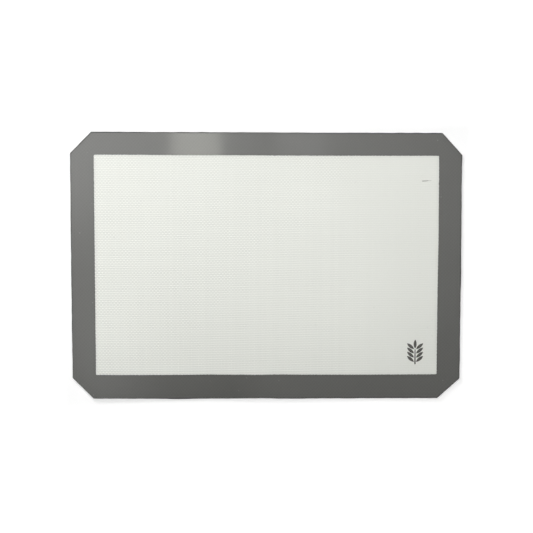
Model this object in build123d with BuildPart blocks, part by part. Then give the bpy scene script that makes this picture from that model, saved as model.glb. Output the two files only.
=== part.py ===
from build123d import *
import os

os.makedirs("parts", exist_ok=True)

# Silicone baking mat: a woven glass cloth between two skins of silicone, with a bead of
# silicone round its cut edge, a printed border and a small printed ornament.
# Millimetres. X runs along the long side, Y away from the user, Z up, and the origin is
# at the centre of the underside.

# The whole mat, seen from above
mat_width = 419.1
mat_depth = 286.6

# The corners are trimmed off by hand, so no two cuts are quite alike. Each cut is
# measured from the square corner, along the width and along the depth.
far_left_cut_width = 22.6
far_left_cut_depth = 22.7
far_right_cut_width = 21.7
far_right_cut_depth = 23.6
near_right_cut_width = 24.1
near_right_cut_depth = 21.4
near_left_cut_width = 22.5
near_left_cut_depth = 22.9
trimmed_corner_radius = 2.0

# The layers, from the underside up
lower_skin_thickness = 0.22
cloth_thickness = 0.26
upper_skin_thickness = 0.22
print_thickness = 0.05

# The bead that seals the cut edge
seal_width = 1.2
seal_edge_radius = 0.3

# The printed border, measured from the outer edge on each side
border_left = 25.4
border_right = 25.2
border_far = 24.5
border_near = 26.2
field_corner_radius = 1.2

# The printed ornament: an ear of wheat in the near right corner of the field, measured
# from the inner edges of the border to its stem and to its foot
ornament_stem_gap_right = 23.6
ornament_foot_gap_near = 11.0
ornament_height = 27.0
grain_length = 10.0
grain_width = 3.3
grain_pitch = 4.6
grain_gap = 0.6
grain_pair_count = 4
grain_angle = 50.0
stem_width = 1.0
stem_foot_width = 1.6

# Heights of the layers
cloth_bottom = lower_skin_thickness
cloth_top = cloth_bottom + cloth_thickness
skins_top = cloth_top + upper_skin_thickness
mat_thickness = skins_top + print_thickness

# Places worked out from the sizes above
right_x = mat_width / 2
left_x = -right_x
far_y = mat_depth / 2
near_y = -far_y
field_width = mat_width - border_left - border_right
field_depth = mat_depth - border_near - border_far
field_centre_x = (border_left - border_right) / 2
field_centre_y = (border_near - border_far) / 2
ornament_x = right_x - border_right - ornament_stem_gap_right
ornament_foot_y = near_y + border_near + ornament_foot_gap_near
ornament_tip_y = ornament_foot_y + ornament_height

outline_corners = [
    (left_x, far_y - far_left_cut_depth),
    (left_x + far_left_cut_width, far_y),
    (right_x - far_right_cut_width, far_y),
    (right_x, far_y - far_right_cut_depth),
    (right_x, near_y + near_right_cut_depth),
    (right_x - near_right_cut_width, near_y),
    (left_x + near_left_cut_width, near_y),
    (left_x, near_y + near_left_cut_depth),
]

# Outline of the whole mat, and of the sheets inside the edge bead
with BuildSketch() as mat_outline:
    with BuildLine():
        FilletPolyline(*outline_corners, radius=trimmed_corner_radius, close=True)
    make_face()

with BuildSketch() as sheet_outline:
    add(mat_outline.sketch)
    offset(amount=-seal_width)

# Lower skin: the silicone coat that lies on the baking sheet
with BuildPart() as lower_silicone_skin:
    with BuildSketch(Plane.XY):
        add(sheet_outline.sketch)
    extrude(amount=lower_skin_thickness)

lower_silicone_skin.part.label = "lower_silicone_skin"
export_step(lower_silicone_skin.part, "parts/lower_silicone_skin.step")

# Glass cloth: the plain-woven core that keeps the mat from stretching
with BuildPart() as woven_glass_cloth:
    with BuildSketch(Plane.XY.offset(cloth_bottom)):
        add(sheet_outline.sketch)
    extrude(amount=cloth_thickness)

woven_glass_cloth.part.label = "woven_glass_cloth"
export_step(woven_glass_cloth.part, "parts/woven_glass_cloth.step")

# Upper skin: the silicone coat that the dough lies on
with BuildPart() as upper_silicone_skin:
    with BuildSketch(Plane.XY.offset(cloth_top)):
        add(sheet_outline.sketch)
    extrude(amount=upper_skin_thickness)

upper_silicone_skin.part.label = "upper_silicone_skin"
export_step(upper_silicone_skin.part, "parts/upper_silicone_skin.step")

# Edge seal: a bead round the cut edge, as thick as the whole mat, with a rounded rim
with BuildPart() as edge_seal:
    with BuildSketch(Plane.XY):
        add(mat_outline.sketch)
        add(sheet_outline.sketch, mode=Mode.SUBTRACT)
    extrude(amount=mat_thickness)
    bead_faces = edge_seal.faces().sort_by(Axis.Z)
    rim_edges = bead_faces[0].outer_wire().edges() + bead_faces[-1].outer_wire().edges()
    fillet(rim_edges, radius=seal_edge_radius)

edge_seal.part.label = "edge_seal"
export_step(edge_seal.part, "parts/edge_seal.step")

# Border print: a flat frame of silicone ink on the upper skin, round the bare field
with BuildPart() as border_print:
    with BuildSketch(Plane.XY.offset(skins_top)):
        add(sheet_outline.sketch)
        with Locations((field_centre_x, field_centre_y)):
            RectangleRounded(field_width, field_depth, field_corner_radius, mode=Mode.SUBTRACT)
    extrude(amount=print_thickness)

border_print.part.label = "border_print"
export_step(border_print.part, "parts/border_print.step")

# One grain of the ornament: two arcs that meet in a point at each end
with BuildSketch() as grain:
    with BuildLine():
        ThreePointArc((0, 0), (grain_width / 2, grain_length / 2), (0, grain_length))
        ThreePointArc((0, grain_length), (-grain_width / 2, grain_length / 2), (0, 0))
    make_face()

# The grains stand in pairs up both sides of the stem, with one more at the tip
stem_top_y = ornament_tip_y - grain_length - grain_gap
grain_places = [Location((ornament_x, ornament_tip_y - grain_length, 0))]
for pair in range(grain_pair_count):
    pair_y = stem_top_y - pair * grain_pitch
    for side in (-1, 1):
        pair_x = ornament_x + side * (stem_width / 2 + grain_gap)
        grain_places.append(Location((pair_x, pair_y, 0), (0, 0, -side * grain_angle)))

# Corner ornament: the stem and its grains, each a separate patch of the same ink
with BuildPart() as corner_ornament:
    with BuildSketch(Plane.XY.offset(skins_top)):
        with Locations(grain_places):
            add(grain.sketch)
        with BuildLine():
            Polyline(
                (ornament_x - stem_foot_width / 2, ornament_foot_y),
                (ornament_x + stem_foot_width / 2, ornament_foot_y),
                (ornament_x + stem_width / 2, stem_top_y),
                (ornament_x - stem_width / 2, stem_top_y),
                close=True,
            )
        make_face()
    extrude(amount=print_thickness)

corner_ornament.part.label = "corner_ornament"
export_step(corner_ornament.part, "parts/corner_ornament.step")
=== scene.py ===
"""Dress the silicone baking mat: its skins, cloth, sealed edge and prints, and the studio.

Metres throughout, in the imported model's frame: X along the long side, Y away from the
user, Z up, with the origin at the centre of the underside.
"""

import logging
import math
from collections.abc import Iterator
from contextlib import contextmanager
from dataclasses import dataclass, field
from enum import Enum
from functools import reduce

import bpy
import numpy as np
from mathutils import Matrix, Vector

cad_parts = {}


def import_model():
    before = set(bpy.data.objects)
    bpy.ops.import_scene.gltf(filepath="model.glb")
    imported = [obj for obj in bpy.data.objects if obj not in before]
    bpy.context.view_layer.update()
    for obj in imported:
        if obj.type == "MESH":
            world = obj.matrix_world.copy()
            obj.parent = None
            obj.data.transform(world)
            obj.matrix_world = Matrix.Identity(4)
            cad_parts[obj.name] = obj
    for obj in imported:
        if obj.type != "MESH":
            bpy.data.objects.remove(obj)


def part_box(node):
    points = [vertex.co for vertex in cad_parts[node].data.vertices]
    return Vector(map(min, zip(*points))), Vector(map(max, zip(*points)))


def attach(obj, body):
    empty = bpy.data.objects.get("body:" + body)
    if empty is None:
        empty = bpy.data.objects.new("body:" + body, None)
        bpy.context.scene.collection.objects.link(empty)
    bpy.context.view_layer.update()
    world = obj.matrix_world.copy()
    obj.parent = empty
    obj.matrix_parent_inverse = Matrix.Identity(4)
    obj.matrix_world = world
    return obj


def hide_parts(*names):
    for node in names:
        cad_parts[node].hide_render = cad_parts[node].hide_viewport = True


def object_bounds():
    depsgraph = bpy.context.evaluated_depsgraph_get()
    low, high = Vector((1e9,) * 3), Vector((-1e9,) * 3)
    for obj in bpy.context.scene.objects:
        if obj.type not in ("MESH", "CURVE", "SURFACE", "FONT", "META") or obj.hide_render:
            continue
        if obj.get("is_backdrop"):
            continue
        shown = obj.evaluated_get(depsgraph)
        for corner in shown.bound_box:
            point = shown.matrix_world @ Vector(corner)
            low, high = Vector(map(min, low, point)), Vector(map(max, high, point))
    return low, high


MM = 0.001
BODY = "root"
YARN_MAP = "yarns"
BAKE_MAP = "OFBake"

# The woven surface, which meshes and materials share: how full a crown is, and how high,
# with the lead that a crown has where the warp is on top and lacks where the weft is
CROWN_FULLNESS = 0.7
CROWN_HEIGHT = 0.88
WARP_LEAD = 0.12

Colour = tuple[float, float, float, float]
Socket = bpy.types.NodeSocket | float | Colour

log = logging.getLogger("baking_mat")


class Face(Enum):
    """The side of a layer that carries its relief and is looked at."""

    UP = 1
    DOWN = -1


# Helpers for modelling


def deselect_all() -> None:
    """Leave nothing selected, so that the next operator acts on its own piece alone."""
    bpy.ops.object.select_all(action="DESELECT")


def make_active(piece: bpy.types.Object) -> None:
    """Select one piece alone and make it the active one.

    Args:
        piece: The object that the next operator acts on.
    """
    deselect_all()
    piece.select_set(True)
    bpy.context.view_layer.objects.active = piece


@contextmanager
def editing(piece: bpy.types.Object, chosen: np.ndarray | None = None) -> Iterator[None]:
    """Open one piece in edit mode, with its faces selected, and close it again.

    Args:
        piece: The object to edit.
        chosen: Which of its faces are selected, or None for all of them.

    Yields:
        Nothing, while the piece is open.
    """
    make_active(piece)
    if chosen is not None:
        select_faces(piece, chosen)
    bpy.ops.object.mode_set(mode="EDIT")
    bpy.ops.mesh.select_mode(type="FACE")
    if chosen is None:
        bpy.ops.mesh.select_all(action="SELECT")
    yield
    bpy.ops.object.mode_set(mode="OBJECT")


def new_piece(name: str) -> bpy.types.Object:
    """Name the primitive that was just added, and its mesh.

    Args:
        name: The piece's name.

    Returns:
        The piece.
    """
    piece = bpy.context.object
    piece.name = name
    piece.data.name = name
    return piece


def unit_grid(name: str, faces_x: int, faces_y: int) -> bpy.types.Object:
    """Add a flat grid, one unit square, about the origin.

    Args:
        name: The piece's name.
        faces_x: The number of faces along X.
        faces_y: The number of faces along Y.

    Returns:
        The new piece.
    """
    deselect_all()
    bpy.ops.mesh.primitive_grid_add(x_subdivisions=faces_x, y_subdivisions=faces_y, size=1.0)
    return new_piece(name)


def read_rows(items: bpy.types.bpy_prop_collection, name: str, columns: int, kind: type) -> np.ndarray:
    """Read one property of all of a mesh's vertices, faces or face corners.

    Args:
        items: The vertices, faces or face corners.
        name: The property.
        columns: How many numbers it holds.
        kind: The kind of these numbers.

    Returns:
        One row for each item, or just one number for each where there is one column.
    """
    found = np.empty(len(items) * columns, kind)
    items.foreach_get(name, found)
    return found.reshape(-1, columns) if columns > 1 else found


def points_of(piece: bpy.types.Object) -> np.ndarray:
    """Read a piece's vertices as an array of one row each."""
    return read_rows(piece.data.vertices, "co", 3, np.float64)


def face_centres(piece: bpy.types.Object) -> np.ndarray:
    """Read the centres of a piece's faces as an array of one row each."""
    return read_rows(piece.data.polygons, "center", 3, np.float64)


def corner_vertices(piece: bpy.types.Object) -> np.ndarray:
    """Give the vertex that each face corner of a piece stands on."""
    return read_rows(piece.data.loops, "vertex_index", 1, np.int32)


def corner_tilts(piece: bpy.types.Object) -> np.ndarray:
    """Give, for each face corner, the upward part of its face's normal."""
    sizes = read_rows(piece.data.polygons, "loop_total", 1, np.int32)
    return np.repeat(read_rows(piece.data.polygons, "normal", 3, np.float32)[:, 2], sizes)


def place_points(piece: bpy.types.Object, points: np.ndarray) -> None:
    """Move a piece's vertices to new places."""
    piece.data.vertices.foreach_set("co", points.ravel())
    piece.data.update()


def write_map(piece: bpy.types.Object, name: str, places: np.ndarray) -> None:
    """Write a UV map, with one row of two numbers for each face corner."""
    layer = piece.data.uv_layers.get(name) or piece.data.uv_layers.new(name=name)
    layer.uv.foreach_set("vector", places.astype(np.float32).ravel())


def select_faces(piece: bpy.types.Object, chosen: np.ndarray) -> None:
    """Select some faces of a piece and nothing else, outside edit mode.

    Args:
        piece: The piece.
        chosen: Which of its faces are selected.
    """
    piece.data.vertices.foreach_set("select", np.zeros(len(piece.data.vertices), bool))
    piece.data.edges.foreach_set("select", np.zeros(len(piece.data.edges), bool))
    piece.data.polygons.foreach_set("select", chosen)


def smooth(piece: bpy.types.Object, sharpest: float = 40.0) -> None:
    """Shade a piece smooth, but for edges that turn by more than an angle in degrees."""
    make_active(piece)
    bpy.ops.object.shade_smooth_by_angle(angle=math.radians(sharpest))


def lay_flat_map(
    piece: bpy.types.Object, seen: Face, seen_share: float = 0.88, strip_gap: float = 0.02
) -> None:
    """Lay a flat piece on its bake map: the seen face over most of it, the hidden one in a strip.

    Args:
        piece: The piece, whose faces look up, down or sideways.
        seen: The face that gets most of the map.
        seen_share: The share of the map's height that this face fills.
        strip_gap: The share between it and the strip.
    """
    points = points_of(piece)[:, :2]
    low, high = points.min(0), points.max(0)
    places = ((points - low) / (high - low))[corner_vertices(piece)]
    hidden = corner_tilts(piece) * seen.value < -0.5
    strip = seen_share + strip_gap
    places[:, 1] = np.where(hidden, strip + places[:, 1] * (1 - strip), places[:, 1] * seen_share)
    write_map(piece, BAKE_MAP, places)


def hand_over(piece: bpy.types.Object, node: str, finish: bpy.types.Material) -> None:
    """Dress a finished piece and let it stand for its solid.

    Args:
        piece: The finished object.
        node: The solid that it replaces.
        finish: The material that it wears.
    """
    piece.data.materials.clear()
    piece.data.materials.append(finish)
    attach(piece, BODY)
    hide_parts(node)
    log.info("%s: %d faces, stands for %s", piece.name, len(piece.data.polygons), node)


# The mat's plan, its yarns and how it lies


@dataclass(frozen=True)
class CornerCut:
    """One corner trimmed off by hand, measured from the square corner."""

    side_x: int
    side_y: int
    width: float
    depth: float


@dataclass(frozen=True)
class EdgeBulge:
    """A place where a hand-cut or printed edge strays outwards, or inwards if its height is negative."""

    x: float
    y: float
    reach: float
    height: float

    def at(self, places: np.ndarray) -> np.ndarray:
        """Give how far the edge strays at each place."""
        apart = np.linalg.norm(places - (self.x, self.y), axis=1)
        return self.height * np.exp(-((apart / self.reach) ** 2))


@dataclass(frozen=True)
class MatPlan:
    """The mat seen from above: its outline, and the printed border on it."""

    width: float
    depth: float
    border_left: float = 25.4 * MM
    border_right: float = 25.2 * MM
    border_far: float = 24.5 * MM
    border_near: float = 26.2 * MM
    field_corner_radius: float = 1.2 * MM
    trimmed_corner_radius: float = 2.0 * MM
    seal_width: float = 1.2 * MM
    cuts: tuple[CornerCut, ...] = (
        CornerCut(1, -1, 24.1 * MM, 21.4 * MM),
        CornerCut(1, 1, 21.7 * MM, 23.6 * MM),
        CornerCut(-1, 1, 22.6 * MM, 22.7 * MM),
        CornerCut(-1, -1, 22.5 * MM, 22.9 * MM),
    )
    bulges: tuple[EdgeBulge, ...] = (
        EdgeBulge(-0.180, -0.143, 0.045, -0.62 * MM),
        EdgeBulge(-0.095, -0.143, 0.017, 0.30 * MM),
        EdgeBulge(0.028, -0.143, 0.018, 0.34 * MM),
        EdgeBulge(0.000, -0.143, 0.050, -0.32 * MM),
        EdgeBulge(0.209, -0.005, 0.016, 0.26 * MM),
        EdgeBulge(0.209, 0.085, 0.030, -0.32 * MM),
        EdgeBulge(0.020, 0.143, 0.020, -0.13 * MM),
        EdgeBulge(0.065, 0.143, 0.025, -0.20 * MM),
        EdgeBulge(-0.209, 0.076, 0.016, -0.20 * MM),
        EdgeBulge(-0.209, -0.033, 0.014, -0.20 * MM),
        EdgeBulge(-0.209, -0.102, 0.020, -0.22 * MM),
    )
    field_bulges: tuple[EdgeBulge, ...] = (
        EdgeBulge(-0.160, 0.119, 0.045, 0.34 * MM),
        EdgeBulge(0.070, 0.119, 0.050, -0.15 * MM),
        EdgeBulge(0.184, 0.088, 0.025, 0.28 * MM),
        EdgeBulge(0.184, 0.035, 0.030, 0.50 * MM),
        EdgeBulge(-0.130, -0.117, 0.035, 0.16 * MM),
        EdgeBulge(-0.066, -0.117, 0.018, -0.18 * MM),
        EdgeBulge(-0.010, -0.117, 0.014, 0.18 * MM),
        EdgeBulge(0.018, -0.117, 0.012, -0.20 * MM),
        EdgeBulge(0.105, -0.117, 0.050, 0.32 * MM),
        EdgeBulge(-0.184, -0.100, 0.020, -0.25 * MM),
    )

    @property
    def field_low(self) -> np.ndarray:
        """The near left corner of the bare field."""
        return np.array([self.border_left - self.width / 2, self.border_near - self.depth / 2])

    @property
    def field_high(self) -> np.ndarray:
        """The far right corner of the bare field."""
        return np.array([self.width / 2 - self.border_right, self.depth / 2 - self.border_far])

    def corners(self) -> np.ndarray:
        """Walk the outline's corners, anticlockwise from the near right cut.

        Returns:
            The eight corners, one row each.
        """
        found = []
        for cut in self.cuts:
            x, y = cut.side_x * self.width / 2, cut.side_y * self.depth / 2
            along_x = (x - cut.side_x * cut.width, y)
            along_y = (x, y - cut.side_y * cut.depth)
            turns_left = cut.side_x * cut.side_y < 0
            found += [along_x, along_y] if turns_left else [along_y, along_x]
        return np.array(found)

    def cut_lines(self) -> list[tuple[np.ndarray, np.ndarray]]:
        """Find the lines of the trimmed corners.

        Returns:
            For each, a point on it and its outward direction.
        """
        corners = self.corners()
        lines = []
        for first in range(0, len(corners), 2):
            along = corners[first + 1] - corners[first]
            outward = np.array([along[1], -along[0]]) / np.linalg.norm(along)
            lines.append((corners[first], outward))
        return lines

    def inside(self, places: np.ndarray) -> np.ndarray:
        """Measure how far places lie inside the outline.

        Args:
            places: One row for each place.

        Returns:
            The distance from each to the nearest side or cut.
        """
        off_x, off_y = np.abs(places).T
        found = np.minimum(self.width / 2 - off_x, self.depth / 2 - off_y)
        for point, outward in self.cut_lines():
            found = np.minimum(found, (point - places) @ outward)
        return found

    def trim_corners(self, piece: bpy.types.Object) -> None:
        """Cut the four corners off a layer along their lines, inside the edge seal.

        Args:
            piece: The layer, which still has square corners.
        """
        with editing(piece):
            for point, outward in self.cut_lines():
                on_line = point - outward * self.seal_width
                bpy.ops.mesh.select_all(action="SELECT")
                bpy.ops.mesh.bisect(
                    plane_co=(*on_line, 0.0),
                    plane_no=(*outward, 0.0),
                    use_fill=True,
                    clear_outer=True,
                )

    def rounded_outline(self, step: float, arc_steps: int) -> tuple[np.ndarray, np.ndarray]:
        """Walk the outline once, with its corners rounded.

        Args:
            step: The longest stretch between two points on a straight side.
            arc_steps: The number of stretches on each rounded corner.

        Returns:
            The points, and the inward direction at each.
        """
        corners = self.corners()
        ahead = np.roll(corners, -1, axis=0) - corners
        lengths = np.linalg.norm(ahead, axis=1)
        ahead /= lengths[:, None]
        behind = np.roll(ahead, 1, axis=0)
        turns = np.arccos((ahead * behind).sum(1))
        trims = self.trimmed_corner_radius * np.tan(turns / 2)
        points, inward = [], []
        for i, corner in enumerate(corners):
            normal = np.array([-behind[i][1], behind[i][0]])
            centre = corner - behind[i] * trims[i] + normal * self.trimmed_corner_radius
            for k in range(arc_steps + 1):
                turn = turns[i] * k / arc_steps
                cos, sin = math.cos(turn), math.sin(turn)
                facing = np.array([normal[0] * cos - normal[1] * sin, normal[0] * sin + normal[1] * cos])
                points.append(centre - facing * self.trimmed_corner_radius)
                inward.append(facing)
            start = corner + ahead[i] * trims[i]
            straight = lengths[i] - trims[i] - trims[(i + 1) % len(corners)]
            count = math.ceil(straight / step)
            for k in range(1, count):
                points.append(start + ahead[i] * straight * k / count)
                inward.append(np.array([-ahead[i][1], ahead[i][0]]))
        return np.array(points), np.array(inward)


def looked_up(values: np.ndarray, known: list[list[float]], found: list[list[float]]) -> np.ndarray:
    """Turn each column of values into others, by its own known pairs and straight lines between."""
    return np.stack([np.interp(*column) for column in zip(values.T, known, found)], axis=1)


@dataclass(frozen=True)
class Bow:
    """How the yarns of one direction bow, in radians for each crossing that they pass."""

    rate: float
    wobble: float
    wobble_rate: float
    start: float

    def at(self, along: np.ndarray, across: np.ndarray) -> np.ndarray:
        """Give the bow, from -1 to 1, at counts along the yarns and across them."""
        return np.sin(along * self.rate + self.wobble * np.sin(across * self.wobble_rate) + self.start)


@dataclass(frozen=True)
class YarnGrid:
    """The crossings of the cloth's yarns, counted from the near left corner of the sheets."""

    plan: MatPlan
    left_count: int = 13
    field_count_x: int = 206
    right_count: int = 13
    near_count: int = 13
    field_count_y: int = 123
    far_count: int = 12
    stray: float = 0.14 * MM
    stray_margin: float = 7 * MM
    warp_bow: Bow = Bow(0.061, 0.7, 0.027, 0.0)
    weft_bow: Bow = Bow(0.043, 0.9, 0.038, 1.2)
    unevenness: float = 0.05 * MM
    unevenness_seed: int = 11
    drift: float = 3.7 * MM
    drift_margin: float = 22 * MM
    drift_from: float = 42
    drift_to: float = 190

    @property
    def counts(self) -> tuple[int, int]:
        """The number of crossings along X and along Y."""
        across = self.left_count + self.field_count_x + self.right_count
        return across, self.near_count + self.field_count_y + self.far_count

    def _marks(self) -> tuple[list[list[int]], list[list[float]]]:
        """Find where the seal and the print's edges fall on the yarns.

        Returns:
            The yarn counts there, one list for each axis, and the places, likewise.
        """
        low, high = self.plan.field_low, self.plan.field_high
        sizes = (self.plan.width, self.plan.depth)
        starts = (self.left_count, self.near_count)
        spans = (self.field_count_x, self.field_count_y)
        counts, places = [], []
        for axis, (size, start, span) in enumerate(zip(sizes, starts, spans)):
            end = size / 2 - self.plan.seal_width
            counts.append([0, start, start + span, self.counts[axis]])
            places.append([-end, low[axis], high[axis], end])
        return counts, places

    def places(self, counts: np.ndarray) -> np.ndarray:
        """Turn yarn counts into places on the mat."""
        marked_counts, marked_places = self._marks()
        return looked_up(counts, marked_counts, marked_places)

    def count_at(self, places: np.ndarray) -> np.ndarray:
        """Turn places on the mat into yarn counts."""
        marked_counts, marked_places = self._marks()
        return looked_up(places, marked_places, marked_counts)

    def on_unit_grid(self, points: np.ndarray) -> np.ndarray:
        """Turn points of a unit grid, which covers all the crossings, into yarn counts."""
        return (points[:, :2] + 0.5) * self.counts

    def strays(self, counts: np.ndarray) -> np.ndarray:
        """Measure how far crossings lie from their even places: bows, uneven gaps and a drift.

        Args:
            counts: The yarn counts of the crossings, one row each.

        Returns:
            The way from the even place to the real one, one row each.
        """
        rng = np.random.default_rng(self.unevenness_seed)
        shifts = []
        for axis, bow in enumerate((self.warp_bow, self.weft_bow)):
            gaps = rng.normal(0, self.unevenness, self.counts[axis] + 1)
            own, other = counts[:, axis], counts[:, 1 - axis]
            shifts.append(np.interp(own, np.arange(len(gaps)), gaps) + self.stray * bow.at(other, own))
        inset = self.plan.inside(self.places(counts)) - self.plan.seal_width
        found = np.stack(shifts, axis=1) * np.clip(inset / self.stray_margin, 0, 1)[:, None]
        run = np.clip((counts[:, 0] - self.drift_from) / (self.drift_to - self.drift_from), 0, 1)
        drifted = self.drift * (0.5 - run**2 * (3 - 2 * run))
        found[:, 1] += drifted * np.clip(inset / self.drift_margin, 0, 1)
        return found

    @staticmethod
    def relief(counts: np.ndarray) -> np.ndarray:
        """Give the height of the woven surface, from 0 between yarns to 1 on a warp yarn."""
        crown = np.sin(math.pi * counts[:, 0]) * np.sin(math.pi * counts[:, 1])
        return np.abs(crown) ** CROWN_FULLNESS * (CROWN_HEIGHT + WARP_LEAD * np.sign(crown))

    def write_counts(self, piece: bpy.types.Object) -> np.ndarray:
        """Write a piece's yarn map from where its points stand.

        Args:
            piece: The piece.

        Returns:
            The yarn counts at its points, one row each.
        """
        counts = self.count_at(points_of(piece)[:, :2])
        write_map(piece, YARN_MAP, counts[corner_vertices(piece)])
        return counts


@dataclass(frozen=True)
class Ripple:
    """One long, low wave in the mat."""

    length: float
    heading: float
    height: float
    start: float

    def at(self, x: np.ndarray, y: np.ndarray) -> np.ndarray:
        """Give the wave's height at each place."""
        across = x * math.cos(self.heading) + y * math.sin(self.heading)
        return self.height * (0.5 + 0.5 * np.sin(across * math.tau / self.length + self.start))


@dataclass(frozen=True)
class RimLift:
    """How high one side of the rim stands, as a share that swings along the side."""

    middle: float
    swing: float
    rate: float
    start: float

    def at(self, along: np.ndarray) -> np.ndarray:
        """Give the share at places along the side."""
        return self.middle + self.swing * np.sin(along * self.rate + self.start)


@dataclass(frozen=True)
class LyingForm:
    """How the mat lies: flat, with slow waves and all but its far edge a little up."""

    plan: MatPlan
    rim_height: float = 1.30 * MM
    rim_reach: float = 90 * MM
    near_lift: RimLift = RimLift(0.75, 0.25, 30, 1.0)
    right_lift: RimLift = RimLift(0.78, 0.22, 24, 2.0)
    left_lift: RimLift = RimLift(0.55, 0.12, 28, 0.5)
    settled: float = 0.09 * MM
    ripples: tuple[Ripple, ...] = (
        Ripple(0.31, 0.4, 0.09 * MM, 0.3),
        Ripple(0.19, 1.3, 0.06 * MM, 1.9),
        Ripple(0.12, 2.5, 0.03 * MM, 4.1),
    )

    def lift(self, places: np.ndarray) -> np.ndarray:
        """Measure how far the mat's underside is off the surface.

        Args:
            places: One row for each place.

        Returns:
            The lift at each place.
        """
        x, y = places[:, 0], places[:, 1]
        sides = (
            (self.near_lift, y + self.plan.depth / 2, x),
            (self.right_lift, x - self.plan.width / 2, y),
            (self.left_lift, x + self.plan.width / 2, y),
        )
        near, right, left = (
            np.exp(-((off / self.rim_reach) ** 2)) * rim_lift.at(along) for rim_lift, off, along in sides
        )
        aside = right + left
        found = self.rim_height * (near + aside - near * aside)
        return found + sum(ripple.at(x, y) for ripple in self.ripples) - self.settled


@dataclass(frozen=True)
class Layers:
    """Heights of the mat's layers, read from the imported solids."""

    cloth_bottom: float
    cloth_top: float
    skins_top: float
    print_top: float
    relief: float = 0.055 * MM

    @staticmethod
    def from_frame() -> "Layers":
        """Read the heights from the boxes of the solids.

        Returns:
            The layers' heights.
        """
        return Layers(
            cloth_bottom=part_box("woven_glass_cloth")[0][2],
            cloth_top=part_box("woven_glass_cloth")[1][2],
            skins_top=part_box("upper_silicone_skin")[1][2],
            print_top=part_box("border_print")[1][2],
        )


@dataclass(frozen=True)
class MatShape:
    """All that the sub-assemblies share: plan, yarns, layers and how the mat lies."""

    plan: MatPlan
    yarns: YarnGrid
    form: LyingForm
    layers: Layers

    def dip(self, counts: np.ndarray) -> np.ndarray:
        """Give how far the woven surface lies below its highest crowns."""
        return self.layers.relief * (1 - self.yarns.relief(counts))


# Shader helpers and shared effects


class Graph:
    """A node tree written as plain sums."""

    def __init__(self, tree: bpy.types.NodeTree) -> None:
        """Keep the tree that nodes are added to."""
        self.tree = tree

    def add(
        self, kind: str, inputs: dict[int | str, Socket] | None = None, **settings: object
    ) -> bpy.types.Node:
        """Add a node.

        Args:
            kind: Its type.
            inputs: What its input sockets get, by number or name.
            **settings: Its properties.

        Returns:
            The new node.
        """
        made = self.tree.nodes.new(kind)
        for name, value in settings.items():
            setattr(made, name, value)
        for socket, value in (inputs or {}).items():
            self.feed(made.inputs[socket], value)
        return made

    def feed(self, socket: bpy.types.NodeSocket, value: Socket) -> None:
        """Link an output to an input socket, or write a number, colour or vector on it.

        Args:
            socket: The input socket.
            value: What it gets.
        """
        if isinstance(value, bpy.types.NodeSocket):
            self.tree.links.new(value, socket)
        else:
            socket.default_value = value

    def math(self, operation: str, *values: Socket, clamp: bool = False) -> Socket:
        """Combine numbers with one Math node."""
        made = self.add("ShaderNodeMath", dict(enumerate(values)), operation=operation, use_clamp=clamp)
        return made.outputs[0]

    def product(self, *values: Socket) -> Socket:
        """Multiply values, one after another."""
        return reduce(lambda found, value: self.math("MULTIPLY", found, value), values)

    def rest(self, share: Socket) -> Socket:
        """Give what a share leaves of one."""
        return self.math("SUBTRACT", 1.0, share)

    def total(self, start: Socket, *shares: tuple[Socket, Socket]) -> Socket:
        """Add up values, each times its weight.

        Args:
            start: What the sum starts at.
            *shares: Pairs of a value and its weight, which may itself be a value.

        Returns:
            The sum's output.
        """
        found = start
        for value, weight in shares:
            found = self.math("MULTIPLY_ADD", value, weight, found)
        return found

    def ramp(self, value: Socket, low: float, high: float, kind: str = "SMOOTHSTEP") -> Socket:
        """Turn a value into 0 below one number, 1 above another and a slope between."""
        inputs = {"Value": value, "From Min": low, "From Max": high}
        return self.add("ShaderNodeMapRange", inputs, interpolation_type=kind).outputs["Result"]

    def between(self, share: Socket, low: Socket, high: Socket) -> Socket:
        """Go from one value to another by a share."""
        return self.add("ShaderNodeMix", {0: share, 2: low, 3: high}, data_type="FLOAT").outputs[0]

    def covered(self, share: Socket, under: Socket, over: Socket) -> Socket:
        """Put one colour over another by a share."""
        return self.add("ShaderNodeMix", {0: share, 6: under, 7: over}, data_type="RGBA").outputs[2]

    def axes(self, vector: Socket) -> tuple[Socket, Socket, Socket]:
        """Split a vector into its X, Y and Z."""
        return tuple(self.add("ShaderNodeSeparateXYZ", {0: vector}).outputs)

    def vector(self, operation: str, *values: Socket) -> bpy.types.bpy_prop_collection:
        """Combine vectors with one Vector Math node, and give its outputs."""
        return self.add("ShaderNodeVectorMath", dict(enumerate(values)), operation=operation).outputs

    def noise(self, vector: Socket, scale: Socket, detail: Socket = 1.0) -> Socket:
        """Read a noise texture, centred on one half."""
        inputs = {"Vector": vector, "Scale": scale, "Detail": detail}
        return self.add("ShaderNodeTexNoise", inputs).outputs["Fac"]

    def shaded(self, colour: Socket, brightness: Socket) -> Socket:
        """Scale a colour by a value that changes over the surface."""
        inputs = {0: colour[:3] if isinstance(colour, tuple) else colour, "Scale": brightness}
        return self.add("ShaderNodeVectorMath", inputs, operation="SCALE").outputs[0]

    def effect(self, group: bpy.types.NodeTree, **inputs: Socket) -> bpy.types.bpy_prop_collection:
        """Place a shared effect, with its own values, and give its outputs."""
        named = {name.replace("_", " ").title(): value for name, value in inputs.items()}
        return self.add("ShaderNodeGroup", named, node_tree=group).outputs


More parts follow.
